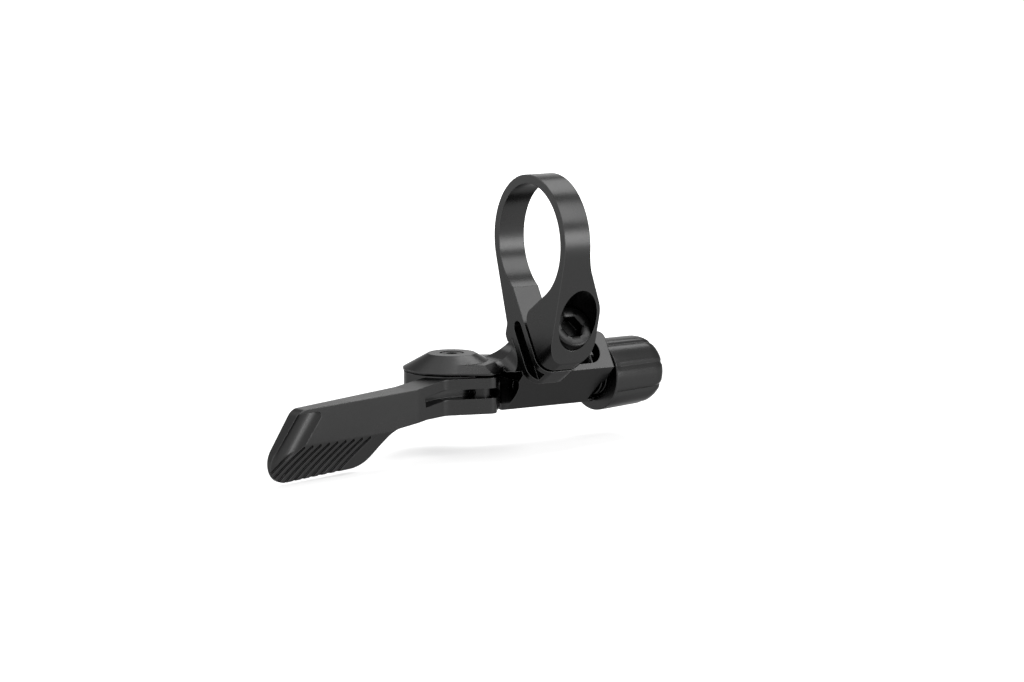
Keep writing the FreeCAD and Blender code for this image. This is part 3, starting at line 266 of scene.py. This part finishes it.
def turned(name, steps, profile, closed):
    """A piece turned about Z from its outline of (radius, height): a circle extruded and scaled
    along it. The ends are joined where the outline is closed, and filled flat where it isn't."""
    bpy.ops.object.select_all(action="DESELECT")
    bpy.ops.mesh.primitive_circle_add(vertices=steps, radius=profile[0][0])
    piece = bpy.context.object
    piece.name = name
    bpy.ops.object.mode_set(mode="EDIT")
    bpy.ops.mesh.select_mode(type="VERT")
    bpy.ops.mesh.select_all(action="SELECT")
    bpy.ops.transform.translate(value=(0, 0, profile[0][1]))
    for (radius, height), (next_radius, next_height) in zip(profile, profile[1:]):
        bpy.ops.mesh.extrude_region_move(
            TRANSFORM_OT_translate={"value": (0, 0, next_height - height)})
        scale = next_radius / radius
        bpy.ops.transform.resize(value=(scale, scale, 1), center_override=(0, 0, next_height))
    if not closed:
        bpy.ops.mesh.edge_face_add()
    bpy.ops.mesh.select_all(action="DESELECT")
    bpy.ops.mesh.select_non_manifold()
    if closed:
        bpy.ops.mesh.bridge_edge_loops()
    else:
        bpy.ops.mesh.edge_face_add()
    close_mesh()
    return piece


def steps_off(angle, steps, period):
    """How many of the circle's steps an angle is from the nearest multiple of period steps."""
    count = round(angle * steps / 360) % period
    return min(count, period - count)


def scale_corners(piece, scale, chosen):
    """Scales the corners that chosen(radius, angle in degrees, height) picks, towards the axis."""
    for corner in piece.data.vertices:
        x, y, height = corner.co
        corner.select = chosen(math.hypot(x, y), math.degrees(math.atan2(y, x)) % 360, height)
    bpy.ops.object.mode_set(mode="EDIT")
    bpy.ops.transform.resize(value=(scale, scale, 1), center_override=(0, 0, 0))
    bpy.ops.mesh.select_all(action="DESELECT")
    bpy.ops.object.mode_set(mode="OBJECT")


def put_in_place(piece, origin, axis, side):
    """Turns the piece's Z to axis and its X towards side, moves it to origin and applies both."""
    along = Vector(axis).normalized()
    across = along.cross(Vector(side)).normalized()
    turn = Matrix((across.cross(along), across, along)).transposed()
    piece.matrix_world = Matrix.Translation(Vector(origin)) @ turn.to_4x4()
    bpy.ops.object.transform_apply(location=True, rotation=True, scale=True)
    bpy.ops.object.shade_smooth_by_angle(angle=SMOOTH_ANGLE)


def make_clamp_bolt():
    """The socket-head screw through the clamp's ears, with a straight knurl round its head."""
    seat, top, rounding = BOLT_HEAD_SEAT, BOLT_HEAD_TOP, HEAD_ROUNDING
    floor = top - SOCKET_DEPTH
    knurl_ends = (seat + KNURL_MARGIN, top - KNURL_MARGIN)
    half_flat = math.radians(30)
    corner = SOCKET_FLATS / math.cos(half_flat)
    profile = [
        (BOLT_SHANK_RADIUS - BOLT_END_CHAMFER, BOLT_SHANK_END),
        (BOLT_SHANK_RADIUS, BOLT_SHANK_END + BOLT_END_CHAMFER),
        (BOLT_SHANK_RADIUS, seat),
        (BOLT_HEAD_RADIUS - rounding, seat),
        (BOLT_HEAD_RADIUS, seat + rounding),
        (BOLT_HEAD_RADIUS, knurl_ends[0]),
        (BOLT_HEAD_RADIUS, knurl_ends[1]),
        (BOLT_HEAD_RADIUS, top - rounding),
        (BOLT_HEAD_RADIUS - HEAD_BEND * rounding, top - HEAD_BEND * rounding),
        (BOLT_HEAD_RADIUS - rounding, top),
        (SOCKET_MOUTH, top),
        (corner, top - SOCKET_CHAMFER),
        (corner, floor),
    ]
    bolt = turned("clamp_bolt_dressed", BOLT_STEPS, profile, closed=False)
    scale_corners(bolt, 1 - KNURL_DEPTH / BOLT_HEAD_RADIUS, lambda radius, angle, height: (
        steps_off(angle, BOLT_STEPS, 2) == 1 and radius > BOLT_HEAD_RADIUS - SNAP
        and knurl_ends[0] - SNAP < height < knurl_ends[1] + SNAP))
    for off in range(BOLT_STEPS // 12 + 1):
        to_middle = half_flat - math.radians(off * 360 / BOLT_STEPS)
        hexagon = math.cos(half_flat) / math.cos(to_middle)
        scale_corners(bolt, hexagon, lambda radius, angle, height: (
            abs(radius - corner) < SNAP and height > floor - SNAP
            and off == steps_off(angle, BOLT_STEPS, BOLT_STEPS // 6)))
    put_in_place(bolt, BOLT_ORIGIN, BOLT_AXIS, BOLT_SIDE)
    bolt.data.materials.append(FINISHES["black_steel"])
    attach(bolt, "handlebar_clamp")
    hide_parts("clamp_bolt")


def make_knob():
    """The barrel adjuster with soft flutes that run out over its domed end."""
    (inner, start), (shoulder, dome), (face, end) = KNOB_INNER, KNOB_SHOULDER, KNOB_FACE
    profile = [
        (WIRE_BORE, STEM_END),
        (STEM_RADIUS - STEM_CHAMFER, STEM_END),
        (STEM_RADIUS, STEM_END + STEM_CHAMFER),
        (STEM_RADIUS, SPRING_POCKET[1]),
        SPRING_POCKET,
        (SPRING_POCKET[0], start),
        (inner - KNOB_INNER_BREAK, start),
        (inner, start + KNOB_INNER_BREAK),
        (inner, start + FLUTE_START),
        (inner, start + 2 * FLUTE_START),
    ]
    for ring in range(KNOB_DOME_RINGS + 1):
        turn = math.radians(90 * ring / KNOB_DOME_RINGS)
        profile.append((face + (shoulder - face) * math.cos(turn),
                        dome + (end - dome) * math.sin(turn)))
    profile += [
        (HOUSING_SEAT[0] + SEAT_CHAMFER, end),
        (HOUSING_SEAT[0], end - SEAT_CHAMFER),
        HOUSING_SEAT,
        (WIRE_BORE, HOUSING_SEAT[1]),
    ]
    knob = turned("barrel_adjuster_dressed", KNOB_STEPS, profile, closed=True)
    for off, depth in FLUTE_DEPTHS.items():
        scale_corners(knob, 1 - depth / inner, lambda radius, angle, height: (
            radius > face + SNAP and height > start + FLUTE_START - SNAP
            and off == steps_off(angle, KNOB_STEPS, KNOB_STEPS // FLUTES)))
    put_in_place(knob, KNOB_ORIGIN, KNOB_AXIS, KNOB_FLUTE_SIDE)
    knob.data.materials.append(FINISHES["black_anodised"])
    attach(knob, "adjuster_knob")
    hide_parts("barrel_adjuster")


def make_spring():
    """The adjuster's spring in round wire; its first turn starts where it clears the clamp nut."""
    low, high = SPRING_ENDS
    bpy.ops.object.select_all(action="DESELECT")
    bpy.ops.mesh.primitive_circle_add(vertices=SPRING_WIRE_SIDES, radius=SPRING_WIRE_RADIUS)
    spring = bpy.context.object
    spring.name = "adjuster_spring_dressed"
    bpy.ops.object.mode_set(mode="EDIT")
    bpy.ops.mesh.select_all(action="SELECT")
    bpy.ops.transform.rotate(value=math.pi / 2, orient_axis="X", center_override=(0, 0, 0))
    bpy.ops.transform.translate(value=(SPRING_RADIUS, 0, low))
    bpy.ops.object.mode_set(mode="OBJECT")
    coil = spring.modifiers.new("coil", "SCREW")
    coil.axis = "Z"
    coil.angle = math.tau
    coil.screw_offset = (high - low) / SPRING_TURNS
    coil.iterations = SPRING_TURNS
    coil.steps = coil.render_steps = SPRING_STEPS
    bpy.ops.object.modifier_apply(modifier=coil.name)
    bpy.ops.object.mode_set(mode="EDIT")
    bpy.ops.mesh.select_all(action="SELECT")
    bpy.ops.mesh.fill_holes(sides=0)
    close_mesh()
    put_in_place(spring, KNOB_ORIGIN, KNOB_AXIS, KNOB_FLUTE_SIDE)
    spring.data.materials.append(FINISHES["black_steel"])
    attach(spring, "bracket_body")
    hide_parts("adjuster_spring")


def make_camera():
    lens = bpy.data.cameras.new("camera")
    lens.lens = CAMERA_LENS
    lens.clip_start = NEAREST_SEEN
    camera = bpy.data.objects.new("camera", lens)
    camera.location = CAMERA_PLACE
    camera.rotation_euler = (math.radians(90 - CAMERA_ELEVATION), 0, math.radians(CAMERA_AZIMUTH))
    bpy.context.scene.collection.objects.link(camera)
    bpy.context.scene.camera = camera


def seen_or_lighting(tree, seen, lighting):
    """One strength for what the camera and mirrors see, another for the light that it gives."""
    path = add_node(tree, "ShaderNodeLightPath")
    seen_ray = path.outputs["Is Camera Ray"]
    for kind in ("Is Glossy Ray", "Is Transmission Ray"):
        seen_ray = add_node(tree, "ShaderNodeMath", {0: seen_ray, 1: path.outputs[kind]},
                            operation="MAXIMUM").outputs[0]
    return add_node(tree, "ShaderNodeMapRange",
                    {"Value": seen_ray, "To Min": lighting, "To Max": seen}).outputs["Result"]


def make_backdrop():
    """A white world behind the object."""
    world = bpy.data.worlds.new("studio")
    world.use_nodes = True
    tree = world.node_tree
    tree.nodes.clear()
    background = add_node(tree, "ShaderNodeBackground",
                          {"Color": linear(BACKDROP), "Strength": seen_or_lighting(tree, 1.0, FILL_LIGHT)})
    output = add_node(tree, "ShaderNodeOutputWorld")
    tree.links.new(background.outputs[0], output.inputs["Surface"])
    bpy.context.scene.world = world


def make_floor():
    """A white table that keeps the object's shadow; its glow brings it up to the backdrop's white."""
    bpy.ops.mesh.primitive_plane_add(size=FLOOR_SIZE, location=(0, 0, -FLOOR_DROP))
    floor = bpy.context.object
    floor.name = "floor"
    material, tree = new_material("white_table")
    diffuse = add_node(tree, "ShaderNodeBsdfDiffuse", {"Color": linear(FLOOR_COLOUR)})
    place = add_node(tree, "ShaderNodeTexCoord").outputs["Object"]
    reach = add_node(tree, "ShaderNodeVectorMath", {0: place}, operation="LENGTH").outputs["Value"]
    sweep = map_range(tree, reach, (SHADOW_REACH, SWEEP_START), (FLOOR_GLOW, 1.0))
    glow = add_node(tree, "ShaderNodeEmission",
                    {"Color": linear(BACKDROP), "Strength": seen_or_lighting(tree, sweep, 0.0)})
    both = add_node(tree, "ShaderNodeAddShader")
    tree.links.new(diffuse.outputs[0], both.inputs[0])
    tree.links.new(glow.outputs[0], both.inputs[1])
    finish_material(tree, both)
    floor.data.materials.append(material)


def make_lamps():
    """Softboxes round the object, all aimed at its middle."""
    middle = Vector(LIT_POINT)
    for name, azimuth, elevation, size, power in LAMPS:
        across, up = math.radians(azimuth), math.radians(elevation)
        towards = Vector((math.sin(across) * math.cos(up), math.cos(across) * math.cos(up), math.sin(up)))
        light = bpy.data.lights.new(name, "AREA")
        light.size = size
        light.energy = power
        lamp = bpy.data.objects.new(name, light)
        lamp.location = middle + towards * LAMP_DISTANCE
        lamp.rotation_euler = (-towards).to_track_quat("-Z", "Y").to_euler()
        bpy.context.scene.collection.objects.link(lamp)


bpy.ops.object.select_all(action="DESELECT")
make_camera()
make_backdrop()
make_floor()
make_lamps()
dress_nodes()
make_clamp_bolt()
make_knob()
make_spring()

bpy.context.scene.view_settings.view_transform = "Standard"
